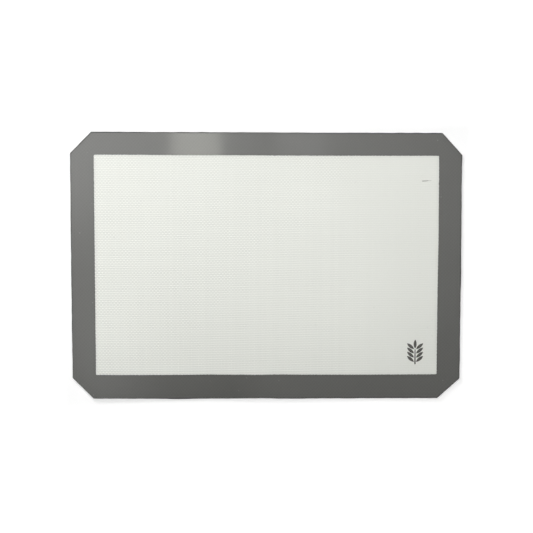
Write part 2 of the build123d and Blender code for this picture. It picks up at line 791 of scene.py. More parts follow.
def new_group(name: str, inputs: list[str]) -> tuple[Graph, bpy.types.bpy_prop_collection]:
    """Start a shader node group.

    Args:
        name: The group's name.
        inputs: Names of its inputs, of which the first is a vector and the others are numbers.

    Returns:
        The group's graph, and what it is given.
    """
    tree = bpy.data.node_groups.new(name, "ShaderNodeTree")
    kind = "NodeSocketVector"
    for socket in inputs:
        tree.interface.new_socket(name=socket, in_out="INPUT", socket_type=kind)
        kind = "NodeSocketFloat"
    graph = Graph(tree)
    return graph, graph.add("NodeGroupInput").outputs


def end_group(graph: Graph, outputs: dict[str, Socket]) -> bpy.types.NodeTree:
    """Give a shader node group its outputs.

    Args:
        graph: The group's graph.
        outputs: The values that it puts out, by name.

    Returns:
        The finished group.
    """
    for name in outputs:
        graph.tree.interface.new_socket(name=name, in_out="OUTPUT", socket_type="NodeSocketFloat")
    graph.add("NodeGroupOutput", outputs)
    return graph.tree


def plain_weave(
    changeover: float = 0.22, gap_width: float = 0.05, crown_width: float = 0.55
) -> bpy.types.NodeTree:
    """Build the weave: crowns, floats, rows, filaments, gaps and uneven yarns, from yarn counts.

    Args:
        changeover: How softly the warp gives way to the weft.
        gap_width: How much of a crossing is gap.
        crown_width: How much of it the gap's edges reach into.

    Returns:
        The group.
    """
    graph, given = new_group("plain weave", ["Yarn Count", "Filaments"])
    u, v, _ = graph.axes(given["Yarn Count"])
    wave_u, wave_v = (graph.math("SINE", graph.product(count, math.pi)) for count in (u, v))
    row_u, row_v = (graph.product(wave, wave) for wave in (wave_u, wave_v))
    crown = graph.product(wave_u, wave_v)
    rounded = graph.math("POWER", graph.math("ABSOLUTE", crown), CROWN_FULLNESS)
    height = graph.total(CROWN_HEIGHT, (graph.math("SIGN", crown), WARP_LEAD))
    warp = graph.ramp(crown, -changeover, changeover)
    turns = graph.product(given["Filaments"], math.tau)
    line_u, line_v = (graph.math("SINE", graph.product(count, turns)) for count in (u, v))
    tones = []
    for count in (u, v):
        dice = graph.add("ShaderNodeTexWhiteNoise", noise_dimensions="1D")
        graph.feed(dice.inputs["W"], graph.math("FLOOR", count))
        tones.append(dice.outputs["Value"])
    return end_group(graph, {
        "Height": graph.product(rounded, height),
        "Warp Float": warp,
        "Weft Row": row_v,
        "Filament": graph.total(0.5, (graph.between(warp, line_v, line_u), 0.5)),
        "Gap": graph.rest(graph.ramp(graph.math("ADD", row_u, row_v), gap_width, crown_width)),
        "Yarn Tone": graph.between(warp, tones[1], tones[0]),
    })


def tone_drift(cloud_detail: float = 3.0, grain_detail: float = 4.0) -> bpy.types.NodeTree:
    """Build slow, cloudy changes of tone with a finer grain over them.

    Args:
        cloud_detail: The detail of the clouds.
        grain_detail: The detail of the grain.

    Returns:
        The group.
    """
    graph, given = new_group("tone drift", ["Place", "Cloud Scale", "Grain Scale"])
    return end_group(graph, {
        "Cloud": graph.noise(given["Place"], given["Cloud Scale"], cloud_detail),
        "Grain": graph.noise(given["Place"], given["Grain Scale"], grain_detail),
    })


def specks(core: float = 0.08, edge: float = 0.26) -> bpy.types.NodeTree:
    """Build sparse small specks: dust on the surface, or flecks under it.

    Args:
        core: The full part of a speck, in its cell.
        edge: Where it ends.

    Returns:
        The group.
    """
    graph, given = new_group("specks", ["Place", "Density", "Share"])
    inputs = {"Vector": given["Place"], "Scale": given["Density"]}
    cells = graph.add("ShaderNodeTexVoronoi", inputs, feature="F1").outputs
    dot = graph.rest(graph.ramp(cells["Distance"], core, edge))
    dice = graph.add("ShaderNodeSeparateColor", {0: cells["Color"]}).outputs[0]
    return end_group(graph, {"Speck": graph.product(dot, graph.math("LESS_THAN", dice, given["Share"]))})


def field_margin() -> bpy.types.NodeTree:
    """Build the distance from a place in the bare field to the nearest edge of the print.

    Returns:
        The group.
    """
    graph, given = new_group("field margin", ["Place", "Left", "Near", "Right", "Far"])
    x, y, _ = graph.axes(given["Place"])
    margins = []
    for place, low, high in ((x, "Left", "Right"), (y, "Near", "Far")):
        past_low = graph.math("SUBTRACT", place, given[low])
        margins.append(graph.math("MINIMUM", past_low, graph.math("SUBTRACT", given[high], place)))
    return end_group(graph, {"Distance": graph.math("MINIMUM", *margins)})


@dataclass(frozen=True)
class Effects:
    """The shared effects, each built once."""

    weave: bpy.types.NodeTree = field(default_factory=plain_weave)
    drift: bpy.types.NodeTree = field(default_factory=tone_drift)
    specks: bpy.types.NodeTree = field(default_factory=specks)
    margin: bpy.types.NodeTree = field(default_factory=field_margin)


# Finishes


@dataclass(frozen=True)
class Texture:
    """How fine a finish's filaments, clouds, grain and dust are, and how much dust there is."""

    filaments: float
    clouds: float
    grain: float
    dust: float = 0.0
    dust_share: float = 0.0


@dataclass(frozen=True)
class Base:
    """A material that has been started, with its graph, the place on the mat and the effects there."""

    material: bpy.types.Material
    graph: Graph
    place: Socket
    weave: bpy.types.bpy_prop_collection
    drift: bpy.types.bpy_prop_collection
    dust: Socket | None

    @staticmethod
    def start(name: str, texture: Texture, effects: Effects) -> "Base":
        """Start a material.

        Args:
            name: The material's name.
            texture: How fine its effects are.
            effects: The shared effects.

        Returns:
            The material, with its effects placed.
        """
        material = bpy.data.materials.new(name)
        material.use_nodes = True
        graph = Graph(material.node_tree)
        yarns = graph.add("ShaderNodeUVMap", uv_map=YARN_MAP).outputs["UV"]
        place = graph.add("ShaderNodeTexCoord").outputs["Object"]
        weave = graph.effect(effects.weave, yarn_count=yarns, filaments=texture.filaments)
        scales = {"cloud_scale": texture.clouds, "grain_scale": texture.grain}
        drift = graph.effect(effects.drift, place=place, **scales)
        dust = None
        if texture.dust:
            amounts = {"density": texture.dust, "share": texture.dust_share}
            dust = graph.effect(effects.specks, place=place, **amounts)["Speck"]
        return Base(material, graph, place, weave, drift, dust)

    def woven_height(self, filament_share: float) -> Socket:
        """Mix the weave's crowns and its filaments, as the height of a bump."""
        crowns = (self.weave["Height"], 1.0 - filament_share)
        return self.graph.total(0.0, crowns, (self.weave["Filament"], filament_share))

    def dressed(
        self, colour: Socket, roughness: Socket, height: Socket, relief: float
    ) -> bpy.types.Material:
        """Feed the shader.

        Args:
            colour: The base colour.
            roughness: The roughness.
            height: The bump's height, from 0 to 1.
            relief: What a height of 1 stands for, in metres.

        Returns:
            The finished material.
        """
        inputs = self.material.node_tree.nodes["Principled BSDF"].inputs
        bump = self.graph.add("ShaderNodeBump", {"Strength": 1.0, "Distance": relief, "Height": height})
        self.graph.feed(inputs["Base Color"], colour)
        self.graph.feed(inputs["Roughness"], roughness)
        self.graph.feed(inputs["Normal"], bump.outputs["Normal"])
        return self.material


@dataclass(frozen=True)
class Fleck:
    """One dark fibre caught under the skin, thick at its start and fine at its end."""

    start: tuple[float, float]
    end: tuple[float, float]
    half_width: float
    colour: Colour
    wander: float = 1.6
    wander_scale: float = 300.0
    taper: float = 0.68
    taper_run: tuple[float, float] = (0.5, 0.75)
    soft_side: tuple[float, float] = (0.6, 1.2)
    soft_start: tuple[float, float] = (0.0, 0.06)
    soft_end: tuple[float, float] = (0.92, 1.0)

    def laid_over(self, graph: Graph, colour: Socket, place: Socket) -> Socket:
        """Lay the fibre over the skin's colour.

        Args:
            graph: The material's graph.
            colour: The skin's colour.
            place: The place on the mat.

        Returns:
            The colour with the fibre in it.
        """
        start = Vector((*self.start, 0.0))
        along = Vector((*self.end, 0.0)) - start
        aside = Vector((-along.y, along.x, 0.0))
        offset = graph.vector("SUBTRACT", place, start)[0]
        run = graph.vector("DOT_PRODUCT", offset, along / along.length_squared)["Value"]
        off_line = graph.vector("DOT_PRODUCT", offset, aside / along.length)["Value"]
        wander = graph.noise(place, self.wander_scale)
        off_line = graph.total(off_line, (wander, self.half_width * self.wander))
        off_line = graph.math("SUBTRACT", off_line, self.half_width * self.wander / 2)
        width = graph.total(1.0, (graph.ramp(run, *self.taper_run), -self.taper))
        near = graph.math("DIVIDE", graph.math("ABSOLUTE", off_line), graph.product(width, self.half_width))
        thick = graph.rest(graph.ramp(near, *self.soft_side))
        ends = graph.product(graph.ramp(run, *self.soft_start), graph.rest(graph.ramp(run, *self.soft_end)))
        return graph.covered(graph.product(thick, ends), colour, self.colour)


@dataclass(frozen=True)
class PaintedShadingSpot:
    """A soft patch painted lighter, or with a negative gain darker: painted light and shade that stand for
    the mat's slow waves.
    """

    x: float
    y: float
    reach: float
    gain: float

    def seen(self, graph: Graph, place: Socket) -> Socket:
        """Work out how much of the spot there is.

        Args:
            graph: The material's graph.
            place: The place on the mat.

        Returns:
            The share of the spot at that place.
        """
        off = graph.vector("SUBTRACT", place, (self.x, self.y, 0.0))[0]
        share = graph.math("DIVIDE", graph.vector("LENGTH", off)["Value"], self.reach)
        return graph.math("EXPONENT", graph.product(share, share, -1.0))


@dataclass(frozen=True)
class WeaveTones:
    """How strongly each part of the weave changes a skin's brightness."""

    warp: float
    row: float
    gap: float
    yarn: float
    filament: float


@dataclass(frozen=True)
class WeaveFade:
    """Where the weave of a skin fades towards the right and the far side, and how much.

    The stretches are along X and Y, and the slanting one is along their difference. The
    shares are of the whole fade.
    """

    amount: float = 0.0
    slow_stretch: tuple[float, float] = (-0.18, 0.09)
    steep_stretch: tuple[float, float] = (0.06, 0.14)
    far_stretch: tuple[float, float] = (0.04, 0.10)
    slanting_stretch: tuple[float, float] = (-0.045, 0.035)
    row_share: float = 0.5
    far_row_share: float = 0.4
    far_crossing_share: float = 0.1
    row_patches: float = 115.0
    crossing_patches: float = 97.0
    patch_contrast: tuple[float, float] = (0.30, 0.70)

    def shares(self, graph: Graph, place: Socket, patchiness: float) -> tuple[Socket, Socket]:
        """Work out how clearly the rows and the crossings show, in patches of their own.

        Args:
            graph: The material's graph.
            place: The place on the mat.
            patchiness: How strongly the patches differ.

        Returns:
            The share of the rows' tones, and that of the crossings'.
        """
        x, y, _ = graph.axes(place)
        slow = graph.ramp(x, *self.slow_stretch, kind="LINEAR")
        steep = graph.ramp(x, *self.steep_stretch)
        far = graph.ramp(y, *self.far_stretch)
        slant = graph.ramp(graph.math("SUBTRACT", x, y), *self.slanting_stretch)
        in_rows = -self.row_share * self.amount
        rows = graph.product(
            graph.total(1.0, (slow, in_rows), (steep, in_rows)),
            graph.total(1.0, (far, -self.far_row_share * self.amount)),
        )
        crossings = graph.product(
            graph.total(1.0, (slant, -self.amount)),
            graph.total(1.0, (steep, -self.amount)),
            graph.total(1.0, (far, -self.far_crossing_share * self.amount)),
        )
        found = []
        for share, scale in ((rows, self.row_patches), (crossings, self.crossing_patches)):
            patch = graph.ramp(graph.noise(place, scale), *self.patch_contrast)
            found.append(graph.product(share, graph.total(1.0 - patchiness / 2, (patch, patchiness))))
        return found[0], found[1]


@dataclass(frozen=True)
class ClearSilicone:
    """A clear skin over white glass cloth, which reads as off-white with its weave showing."""

    name: str
    tint: Colour
    roughness: float
    tones: WeaveTones
    cloud_gain: float
    field_sides: tuple[float, float, float, float]
    fade: WeaveFade = WeaveFade()
    patchiness: float = 0.0
    # painted shade of the field beside the print, and how fast it fades into the field
    painted_shade_by_print: float = 0.0
    painted_shade_reach: float = 2.0 * MM
    border_shade: float = 0.0
    border_blur: float = 0.8 * MM
    # soft patches of painted light and shade, standing for the mat's slow waves
    spots: tuple[PaintedShadingSpot, ...] = ()
    fleck: Fleck | None = None
    texture: Texture = Texture(filaments=6.0, clouds=14.0, grain=420.0, dust=190.0, dust_share=0.02)
    mean_gap: float = 0.1
    dust_shade: float = 0.05
    cloud_roughness: float = 0.08
    dust_roughness: float = 0.1
    filament_share: float = 0.1
    relief: float = 0.05 * MM

    def material(self, effects: Effects) -> bpy.types.Material:
        """Build the finish.

        Args:
            effects: The shared effects.

        Returns:
            The material.
        """
        base = Base.start(self.name, self.texture, effects)
        graph, weave, tones = base.graph, base.weave, self.tones
        crossings = graph.total(-tones.warp / 2, (weave["Warp Float"], tones.warp))
        rows = graph.total(
            tones.gap * self.mean_gap - (tones.row + tones.yarn + tones.filament) / 2,
            (weave["Weft Row"], tones.row),
            (weave["Gap"], -tones.gap),
            (weave["Yarn Tone"], tones.yarn),
            (weave["Filament"], tones.filament),
        )
        rows_show, crossings_show = self.fade.shares(graph, base.place, self.patchiness)
        brightness = graph.total(
            1.0 - self.cloud_gain,
            (rows, rows_show),
            (crossings, crossings_show),
            (base.drift["Cloud"], self.cloud_gain),
            (base.drift["Grain"], self.cloud_gain),
            (base.dust, -self.dust_shade),
            # the spots add painted light and shade of the mat's slow waves
            *((spot.seen(graph, base.place), spot.gain) for spot in self.spots),
        )
        brightness = graph.product(brightness, self._light_left(graph, effects, base.place))
        colour = graph.shaded(self.tint, brightness)
        if self.fleck:
            colour = self.fleck.laid_over(graph, colour, base.place)
        roughness = graph.total(
            self.roughness - self.cloud_roughness / 2,
            (base.drift["Cloud"], self.cloud_roughness),
            (base.dust, self.dust_roughness),
        )
        return base.dressed(colour, roughness, base.woven_height(self.filament_share), self.relief)

    def _light_left(self, graph: Graph, effects: Effects, place: Socket) -> Socket:
        """Paint shade on the skin beside the print, which takes light from it, and darken the skin where
        the print shows through.

        Args:
            graph: The material's graph.
            effects: The shared effects.
            place: The place on the mat.

        Returns:
            The share of the light that is left.
        """
        sides = dict(zip(("left", "near", "right", "far"), self.field_sides))
        margin = graph.effect(effects.margin, place=place, **sides)["Distance"]
        # painted shade: the field is darker near the print's edge, fading with distance into the field
        away = graph.product(margin, -1.0 / self.painted_shade_reach)
        beside = graph.math("EXPONENT", graph.math("MINIMUM", away, 0.0))
        inside = graph.ramp(margin, -self.border_blur, self.border_blur)
        shades = ((inside, self.border_shade), (beside, -self.painted_shade_by_print))
        return graph.total(1.0 - self.border_shade, *shades)


@dataclass(frozen=True)
class GreySilicone:
    """Grey pigmented silicone, a print or a sealing bead, with a satin shine.

    The shine spreads towards grazing angles, so that the silicone stays grey there.
    """

    name: str
    grey: Colour
    roughness: float
    telegraph: float
    texture: Texture = Texture(filaments=5.0, clouds=16.0, grain=900.0, dust=230.0, dust_share=0.03)
    mean_tone: float = 0.98
    cloud_gain: float = 0.10
    warp_gain: float = 0.06
    dust_gain: float = 0.25
    cloud_roughness: float = 0.4
    dust_roughness: float = 0.2
    grazing: tuple[float, float] = (0.45, 0.95)
    grazing_roughness: float = 0.45
    wave_scale: float = 60.0
    waviness: float = 0.5

    def material(self, effects: Effects) -> bpy.types.Material:
        """Build the finish.

        Args:
            effects: The shared effects.

        Returns:
            The material.
        """
        base = Base.start(self.name, self.texture, effects)
        graph, drift = base.graph, base.drift
        brightness = graph.total(
            self.mean_tone - self.cloud_gain,
            (drift["Cloud"], self.cloud_gain),
            (drift["Grain"], self.cloud_gain),
            (base.weave["Warp Float"], self.warp_gain),
            (base.dust, self.dust_gain),
        )
        facing = graph.add("ShaderNodeLayerWeight").outputs["Facing"]
        roughness = graph.total(
            self.roughness * (1 - self.cloud_roughness / 2),
            (drift["Cloud"], self.roughness * self.cloud_roughness),
            (base.dust, self.dust_roughness),
            (graph.ramp(facing, *self.grazing), self.grazing_roughness),
        )
        waves = graph.noise(base.place, self.wave_scale, detail=2.0)
        height = graph.total(0.0, (base.weave["Height"], 1.0), (waves, self.waviness))
        return base.dressed(graph.shaded(self.grey, brightness), roughness, height, self.telegraph)


@dataclass(frozen=True)
class DarkInk:
    """Dark printed ink, thinner on the crowns of the weave."""

    name: str
    ink: Colour
    worn: Colour
    roughness: float
    texture: Texture = Texture(filaments=5.0, clouds=160.0, grain=1100.0)
    wear_start: float = -0.34
    crown_wear: float = 0.55
    cloud_wear: float = 0.35
    grain_wear: float = 0.25
    crown_roughness: float = 0.12
    relief: float = 0.02 * MM

    def material(self, effects: Effects) -> bpy.types.Material:
        """Build the finish.

        Args:
            effects: The shared effects.

        Returns:
            The material.
        """
        base = Base.start(self.name, self.texture, effects)
        graph, crown = base.graph, base.weave["Height"]
        thin = graph.total(
            self.wear_start,
            (crown, self.crown_wear),
            (base.drift["Cloud"], self.cloud_wear),
            (base.drift["Grain"], self.grain_wear),
        )
        colour = graph.covered(graph.ramp(thin, 0.0, 1.0), self.ink, self.worn)
        roughness = graph.total(self.roughness, (crown, self.crown_roughness))
        return base.dressed(colour, roughness, crown, self.relief)


@dataclass(frozen=True)
class GlassCloth:
    """White glass cloth: bright, slightly green yarns of straight filaments."""

    name: str
    warp: Colour
    weft: Colour
    roughness: float
    texture: Texture = Texture(filaments=9.0, clouds=20.0, grain=700.0)
    mean_tone: float = 0.86
    filament_gain: float = 0.08
    yarn_gain: float = 0.06
    cloud_gain: float = 0.06
    gap_shade: float = 0.35
    grain_roughness: float = 0.1
    filament_share: float = 0.2
    relief: float = 0.09 * MM

    def material(self, effects: Effects) -> bpy.types.Material:
        """Build the finish.

        Args:
            effects: The shared effects.

        Returns:
            The material.
        """
        base = Base.start(self.name, self.texture, effects)
        graph, weave = base.graph, base.weave
        shade = graph.total(
            self.mean_tone,
            (weave["Filament"], self.filament_gain),
            (weave["Yarn Tone"], self.yarn_gain),
            (weave["Gap"], -self.gap_shade),
            (base.drift["Cloud"], self.cloud_gain),
        )
        colour = graph.shaded(graph.covered(weave["Warp Float"], self.weft, self.warp), shade)
        roughness = graph.total(self.roughness, (base.drift["Grain"], self.grain_roughness))
        return base.dressed(colour, roughness, base.woven_height(self.filament_share), self.relief)


def make_finishes(plan: MatPlan) -> dict[str, bpy.types.Material]:
    """Make the material of every piece.

    Args:
        plan: The mat's plan, which says where the print lies.

    Returns:
        The materials, by the name of the piece that wears each.
    """
    field_sides = (*plan.field_low, *plan.field_high)
    finishes = {
        "lower_skin": ClearSilicone(
            name="clear silicone, lower",
            tint=(0.70, 0.715, 0.675, 1.0),
            roughness=0.40,
            tones=WeaveTones(warp=0.10, row=0.08, gap=0.10, yarn=0.03, filament=0.03),
            cloud_gain=0.03,
            field_sides=field_sides,
            patchiness=0.3,
            border_shade=0.35,
        ),
        "glass_cloth": GlassCloth(
            name="glass cloth",
            warp=(0.80, 0.82, 0.78, 1.0),
            weft=(0.72, 0.74, 0.70, 1.0),
            roughness=0.45,
        ),
        "upper_skin": ClearSilicone(
            name="clear silicone, upper",
            tint=(0.7085, 0.7210, 0.6760, 1.0),
            roughness=0.52,
            tones=WeaveTones(warp=0.10, row=0.17, gap=0.10, yarn=0.04, filament=0.02),
            cloud_gain=0.02,
            field_sides=field_sides,
            fade=WeaveFade(amount=0.75),
            patchiness=0.9,
            # painted shade of the field beside the print
            painted_shade_by_print=0.09,
            # painted light and shade of the mat's slow waves, one patch each
            spots=(
                PaintedShadingSpot(0.045, 0.073, 0.042, 0.022),
                PaintedShadingSpot(-0.175, -0.075, 0.045, 0.030),
                PaintedShadingSpot(0.080, -0.064, 0.045, 0.020),
                PaintedShadingSpot(-0.055, -0.078, 0.045, -0.020),
                PaintedShadingSpot(-0.070, 0.020, 0.045, -0.013),
                PaintedShadingSpot(0.155, 0.030, 0.045, -0.015),
            ),
            fleck=Fleck((0.1660, 0.0919), (0.1768, 0.0922), 0.48 * MM, (0.20, 0.195, 0.17, 1.0)),
        ),
        "sealed_edge": GreySilicone(
            name="grey silicone bead",
            grey=(0.041, 0.041, 0.038, 1.0),
            roughness=0.32,
            telegraph=0.004 * MM,
        ),
        "printed_border": GreySilicone(
            name="grey silicone print",
            grey=(0.0849, 0.0850, 0.0786, 1.0),
            roughness=0.078,
            telegraph=0.0020 * MM,
        ),
        "printed_ear_of_wheat": DarkInk(
            name="dark ink",
            ink=(0.052, 0.050, 0.044, 1.0),
            worn=(0.16, 0.155, 0.14, 1.0),
            roughness=0.42,
        ),
    }
    effects = Effects()
    return {piece: finish.material(effects) for piece, finish in finishes.items()}


# Sub-assemblies


@dataclass
class WovenSheet:
    """A closed sheet that follows the yarns: a silicone skin, or the cloth core."""

    shape: MatShape
    name: str
    node: str
    slot: str
    bottom: float
    top: float
    face: Face

    def build(self, finish: bpy.types.Material) -> bpy.types.Object:
        """Model the sheet, dress it and hand it over.

        Args:
            finish: The material that it wears.

        Returns:
            The finished piece.
        """
        piece = self._slab()
        self.shape.plan.trim_corners(piece)
        self._shape_surface(piece, self.shape.yarns.write_counts(piece))
        lay_flat_map(piece, self.face)
        smooth(piece)
        hand_over(piece, self.node, finish)
        return piece

    def _slab(self) -> bpy.types.Object:
        """Add a slab, and split its woven face into one poked face for each crossing.

        Returns:
            The slab, with its crossings at their even places.
        """
        across, along = self.shape.yarns.counts
        piece = unit_grid(self.name, across // 2, along // 2)
        with editing(piece):
            bpy.ops.mesh.extrude_region_move(TRANSFORM_OT_translate={"value": (0, 0, 1)})
        woven = (face_centres(piece)[:, 2] - 0.5) * self.face.value > 0.25
        with editing(piece, woven):
            bpy.ops.mesh.subdivide(number_cuts=1)
            bpy.ops.mesh.poke()
        points = points_of(piece)
        points[:, :2] = self.shape.yarns.places(self.shape.yarns.on_unit_grid(points))
        points[:, 2] = np.where(points[:, 2] > 0.5, self.top, self.bottom)
        place_points(piece, points)
        return piece

    def _shape_surface(self, piece: bpy.types.Object, counts: np.ndarray) -> None:
        """Raise the crowns, let the yarns stray and lay the sheet in the mat's form.

        Args:
            piece: The trimmed slab.
            counts: The yarn counts at its points.
        """
        points = points_of(piece)
        above_middle = points[:, 2] - (self.bottom + self.top) / 2
        woven = above_middle * self.face.value > 0
        points[:, 2] -= np.where(woven, self.shape.dip(counts), 0) * self.face.value
        points[:, 2] += self.shape.form.lift(points[:, :2])
        points[:, :2] += self.shape.yarns.strays(counts)
        place_points(piece, points)


@dataclass
class EdgeSeal:
    """The bead of grey silicone round the cut edge, with its rounded rim.

    The profile's points are inset and height in millimetres, from the inner top round the
    rim to the inner bottom.
    """

    shape: MatShape
    name: str = "sealed_edge"
    node: str = "edge_seal"
    slot: str = "grey_silicone"
    step: float = 1.1 * MM
    arc_steps: int = 6
    sharpest: float = 60.0
    unevenness: float = 0.06 * MM
    unevenness_seed: int = 5
    unevenness_reach: int = 7
    map_rows: int = 8
    map_margin: float = 0.06
    profile: tuple[tuple[float, float], ...] = (
        (1.30, 0.746),
        (1.05, 0.751),
        (0.80, 0.748),
        (0.58, 0.728),
        (0.38, 0.680),
        (0.22, 0.605),
        (0.09, 0.500),
        (0.02, 0.400),
        (0.00, 0.310),
        (0.03, 0.205),
        (0.12, 0.115),
        (0.27, 0.045),
        (0.50, 0.010),
        (0.85, 0.000),
        (1.30, 0.003),
    )

    def build(self, finish: bpy.types.Material) -> bpy.types.Object:
        """Model the bead as a wall of rings, dress it and hand it over.

        Args:
            finish: The material that it wears.

        Returns:
            The finished piece.
        """
        outline, inward = self.shape.plan.rounded_outline(self.step, self.arc_steps)
        piece = self._ring_wall(len(outline))
        wall = points_of(piece)
        turn = np.arctan2(wall[:, 0], wall[:, 1]) / math.tau
        spots = np.round(turn * len(outline)).astype(int) % len(outline)
        rings = np.round(wall[:, 2]).astype(int)
        place_points(piece, self._swept(outline, inward, spots, rings))
        self._close(piece)
        self.shape.yarns.write_counts(piece)
        self._lay_map(piece, spots / len(outline), rings / len(self.profile))
        smooth(piece, self.sharpest)
        hand_over(piece, self.node, finish)
        return piece

    def _ring_wall(self, count: int) -> bpy.types.Object:
        """Add a circle and extrude it upwards once for each further point of the profile.

        Args:
            count: The number of points on each ring.

        Returns:
            The open wall.
        """
        deselect_all()
        bpy.ops.mesh.primitive_circle_add(vertices=count, radius=1.0)
        piece = new_piece(self.name)
        with editing(piece):
            bpy.ops.mesh.select_mode(type="EDGE")
            bpy.ops.mesh.select_all(action="SELECT")
            for _ in self.profile[1:]:
                bpy.ops.mesh.extrude_region_move(TRANSFORM_OT_translate={"value": (0, 0, 1)})
        return piece

    def _swept(
        self, outline: np.ndarray, inward: np.ndarray, spots: np.ndarray, rings: np.ndarray
    ) -> np.ndarray:
        """Put every ring on the outline, at its inset and height.

        Args:
            outline: The outline's points.
            inward: The inward direction at each.
            spots: For each vertex, its point on the outline.
            rings: For each vertex, its point on the profile.

        Returns:
            One row for each vertex.
        """
        profile = np.array(self.profile) * MM
        inset, height = profile[rings, 0], profile[rings, 1]
        reach = self._bulge(outline)[spots] * (1 - inset / profile[:, 0].max())
        points = np.empty((len(spots), 3))
        points[:, :2] = outline[spots] + inward[spots] * (inset - reach)[:, None]
        points[:, 2] = height + self.shape.form.lift(points[:, :2])
        return points

    def _bulge(self, outline: np.ndarray) -> np.ndarray:
        """Work out how far the cut edge strays outwards.

        Args:
            outline: The outline's points.

        Returns:
            The stray at each point.
        """
        reach = self.unevenness_reach
        rng = np.random.default_rng(self.unevenness_seed)
        rough = rng.normal(0, 1, len(outline))
        window = np.hanning(2 * reach + 1)
        ends = np.concatenate([rough[-reach:], rough, rough[:reach]])
        even = np.convolve(ends, window / np.linalg.norm(window), "valid")
        return sum(bulge.at(outline) for bulge in self.shape.plan.bulges) + self.unevenness * even

    def _close(self, piece: bpy.types.Object) -> None:
        """Bridge the first ring to the last, and turn the bead's faces outwards.

        Args:
            piece: The open wall.
        """
        with editing(piece):
            bpy.ops.mesh.select_all(action="DESELECT")
            bpy.ops.mesh.select_mode(type="EDGE")
            bpy.ops.mesh.select_non_manifold()
            bpy.ops.mesh.bridge_edge_loops()
            bpy.ops.mesh.select_all(action="SELECT")
            bpy.ops.mesh.normals_make_consistent(inside=False)

    def _lay_map(self, piece: bpy.types.Object, along: np.ndarray, across: np.ndarray) -> None:
        """Lay the bead on the bake map, cut into stretches that each fill a row.

        Args:
            piece: The closed bead, all of whose faces have four corners.
            along: How far each point is along the outline, from 0 to 1.
            across: How far it is along the profile, from 0 to 1.
        """
        vertices = corner_vertices(piece)
        along, across = (share[vertices].reshape(-1, 4) for share in (along, across))
        low, high = along.min(1, keepdims=True), along.max(1, keepdims=True)
        along = np.where((high - low > 0.5) & (along < 0.5), along + 1, along)
        row = np.floor(along.mean(1, keepdims=True) * self.map_rows).clip(0, self.map_rows - 1)
        bridge = across.max(1, keepdims=True) - across > 0.5
        across = np.where(bridge, 1.0, across)
        height = self.map_margin + (1 - 2 * self.map_margin) * across
        places = np.stack([along * self.map_rows - row, (row + height) / self.map_rows], axis=2)
        write_map(piece, BAKE_MAP, places.clip(0, 1))


@dataclass
class BorderPrint:
    """The frame of grey silicone ink round the bare field, a thin film over the weave."""

    shape: MatShape
    name: str = "printed_border"
    node: str = "border_print"
    slot: str = "grey_silicone"
    rim_cuts: int = 2
    scallop: float = 0.06 * MM
    raggedness: float = 0.08 * MM
    raggedness_seed: int = 17
    raggedness_count: int = 4096
    on_edge_within: float = 0.01 * MM

    def build(self, finish: bpy.types.Material) -> bpy.types.Object:
        """Model the film, dress it and hand it over.

        Args:
            finish: The material that it wears.

        Returns:
            The finished piece.
        """
        piece = self._frame()
        self.shape.plan.trim_corners(piece)
        counts = self.shape.yarns.write_counts(piece)
        points = points_of(piece)
        layers = self.shape.layers
        under = layers.skins_top - self.shape.dip(counts)
        points[:, 2] = np.where(points[:, 2] > 0.5, layers.print_top, under)
        points[:, 2] += self.shape.form.lift(points[:, :2])
        points[:, :2] = self._inner_edge(points[:, :2], counts)
        place_points(piece, points)
        lay_flat_map(piece, Face.UP)
        smooth(piece)
        hand_over(piece, self.node, finish)
        return piece

    def _frame(self) -> bpy.types.Object:
        """Add a grid of one face for each crossing, open its field and give it a thickness.

        Returns:
            The frame, with its crossings at their even places.
        """
        yarns = self.shape.yarns
        piece = unit_grid(self.name, *yarns.counts)
        low = np.array([yarns.left_count, yarns.near_count])
        high = low + (yarns.field_count_x, yarns.field_count_y)
        with editing(piece, self._between(piece, low, high)):
            bpy.ops.mesh.delete(type="FACE")
        with editing(piece, self._between(piece, low - 1, high + 1)):
            bpy.ops.mesh.subdivide(number_cuts=self.rim_cuts)
            bpy.ops.mesh.select_all(action="SELECT")
            bpy.ops.mesh.extrude_region_move(TRANSFORM_OT_translate={"value": (0, 0, 1)})
        with editing(piece, face_centres(piece)[:, 2] < 0.25):
            bpy.ops.mesh.poke()
        points = points_of(piece)
        points[:, :2] = yarns.places(yarns.on_unit_grid(points))
        place_points(piece, points)
        return piece

    def _between(self, piece: bpy.types.Object, low: np.ndarray, high: np.ndarray) -> np.ndarray:
        """Find the faces of a unit grid whose centres lie between two yarn counts."""
        centres = self.shape.yarns.on_unit_grid(face_centres(piece))
        return ((centres > low) & (centres < high)).all(1)

    def _inner_edge(self, places: np.ndarray, counts: np.ndarray) -> np.ndarray:
        """Round the field's corners, and let the ink creep a little along the yarns.

        Args:
            places: The film's points, seen from above.
            counts: The yarn counts at them.

        Returns:
            The points, with those on the inner edge moved.
        """
        low, high = self.shape.plan.field_low, self.shape.plan.field_high
        radius = self.shape.plan.field_corner_radius
        tiny = self.on_edge_within
        found = places.copy()
        rng = np.random.default_rng(self.raggedness_seed)
        ragged = rng.normal(0, self.raggedness, self.raggedness_count)
        inside = ((places > low - tiny) & (places < high + tiny)).all(1)
        for axis in (0, 1):
            other = 1 - axis
            for edge, into in ((low[axis], 1), (high[axis], -1)):
                on_edge = inside & (np.abs(places[:, axis] - edge) < tiny)
                along = places[on_edge, other]
                end = np.minimum(along - low[other], high[other] - along)
                missing = (radius - end).clip(0, radius)
                arc = radius - np.sqrt(radius**2 - missing**2)
                arc = np.where(end < tiny, radius * (1 - math.sqrt(0.5)), arc)
                count = counts[on_edge, other]
                creep = self.scallop * np.cos(math.pi * count)
                creep += ragged[np.round(count * (self.rim_cuts + 1)).astype(int)]
                creep *= np.clip(end / radius - 0.5, 0, 1)
                stray = sum(bulge.at(places[on_edge]) for bulge in self.shape.plan.field_bulges)
                found[on_edge, axis] += into * (arc + creep - stray)
        return found


